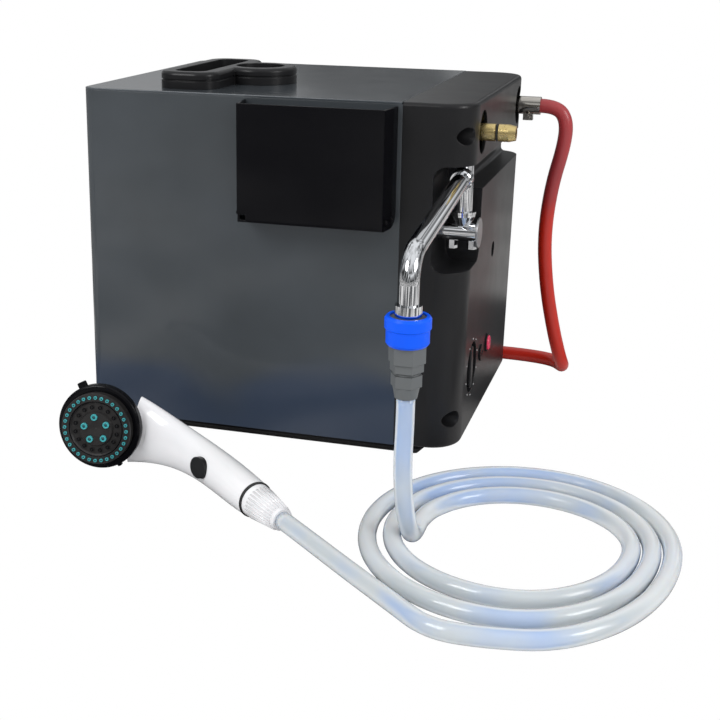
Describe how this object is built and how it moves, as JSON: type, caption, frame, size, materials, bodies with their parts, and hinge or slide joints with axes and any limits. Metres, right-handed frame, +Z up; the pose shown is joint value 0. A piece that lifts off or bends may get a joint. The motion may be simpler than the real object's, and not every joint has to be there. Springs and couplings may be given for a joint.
{
  "type": "portable propane water heater",
  "caption": "Box-shaped portable gas water heater with carry grip, exhaust hood, swivel tap, flame knob, red gas hose and a hand shower on a clear hose.",
  "frame": {"origin": "centre of the base tray's rim on the floor", "axes": "+Z up, +X to the front with the tap and controls, -Y to the exhaust side"},
  "size_m": [0.581, 0.844, 0.351],
  "materials": {
    "slate_paint": "semi-gloss slate grey",
    "top_plate": "gloss slate grey",
    "black_moulding": "satin black",
    "hood_black": "gloss black",
    "steel": "plain",
    "copper": "plain copper",
    "brass_metal": "turned brass",
    "seal_rubber": "matte",
    "nickel": "nickel plate",
    "gas_hose_red": "satin red",
    "chrome_plate": "polished",
    "coupler_blue": "gloss blue",
    "coupler_grey": "satin grey",
    "hose_clear": "milky see-through",
    "white_plastic": "gloss white",
    "face_plate": "satin",
    "nozzle_teal": "satin teal",
    "button_red": "gloss"
  },
  "bodies": {
    "heater": {"base_tray": "slate_paint", "cabinet_shell": "slate_paint", "top_panel": "top_plate", "front_cover": "black_moulding", "exhaust_hood": "hood_black", "exhaust_grille": "steel", "hood_rivets": "hood_black", "handle_grip": "black_moulding", "handle_well": "black_moulding", "dish_cap": "black_moulding", "cover_screws": "steel", "chassis_plate": "steel", "burner": "steel", "combustion_chamber": "copper", "heat_exchanger": "copper", "flue_duct": "steel", "cold_water_pipe": "copper", "hot_water_pipe": "copper", "gas_pipe": "copper", "gas_valve": "brass_metal", "water_valve": "brass_metal", "flame_control": "brass_metal", "ignition_module": "black_moulding", "spark_electrode": "white_plastic", "battery_box": "black_moulding", "battery_cells": "steel", "water_connector": "brass_metal", "connector_oring": "seal_rubber", "gas_connector": "nickel", "gas_hose_clamp": "nickel", "gas_hose_run": "gas_hose_red", "gas_hose_coil": "gas_hose_red", "gas_union": "brass_metal", "tap_body": "chrome_plate", "tap_end_disc": "chrome_plate", "tap_plugs": "chrome_plate", "shower_hose_drop": "hose_clear", "shower_hose_loops": "hose_clear", "shower_hose_lead": "hose_clear", "handset_body": "white_plastic", "handset_nut": "white_plastic", "handset_ring": "seal_rubber", "nozzle_plate": "face_plate", "soft_nozzles": "nozzle_teal", "mist_nozzles": "black_moulding", "button_bezel": "black_moulding", "power_socket": "black_moulding"},
    "spout": {"spout_column": "chrome_plate", "spout_tube": "chrome_plate", "spout_nut": "chrome_plate", "spout_collar": "chrome_plate", "coupler_collar": "coupler_blue", "coupler_insert": "coupler_grey", "coupler_body": "coupler_grey", "hose_nut": "coupler_grey"},
    "knob": {"flame_knob": "black_moulding", "knob_spindle": "steel"},
    "start_button": {"ignition_button": "button_red"},
    "selector": {"spray_selector": "black_moulding"},
    "thumb_button": {"handset_button": "black_moulding"}
  },
  "joints": [
    {"name": "spout_swivel", "type": "hinge", "parent": "heater", "child": "spout", "pos_m": [0.175, -0.12, 0.25], "axis": [0, 0, 1], "range_deg": [-15, 60], "deforming": ["shower_hose_drop"]},
    {"name": "knob_turn", "type": "hinge", "parent": "heater", "child": "knob", "pos_m": [0.17, -0.088, 0.075], "axis": [1, 0, 0], "range_deg": [-135, 135]},
    {"name": "button_press", "type": "slide", "parent": "heater", "child": "start_button", "axis": [-1, 0, 0], "range_m": [0, 0.0025], "stiffness_N_per_m": 600},
    {"name": "spray_select", "type": "hinge", "parent": "heater", "child": "selector", "pos_m": [-0.127, -0.25903, 0.0403], "axis": [0.0992, -0.9889, 0.1109], "range_deg": [0, 80]},
    {"name": "thumb_press", "type": "slide", "parent": "heater", "child": "thumb_button", "axis": [0.5946, 0.7754, -0.2126], "range_m": [0, 0.0018], "stiffness_N_per_m": 600}
  ]
}
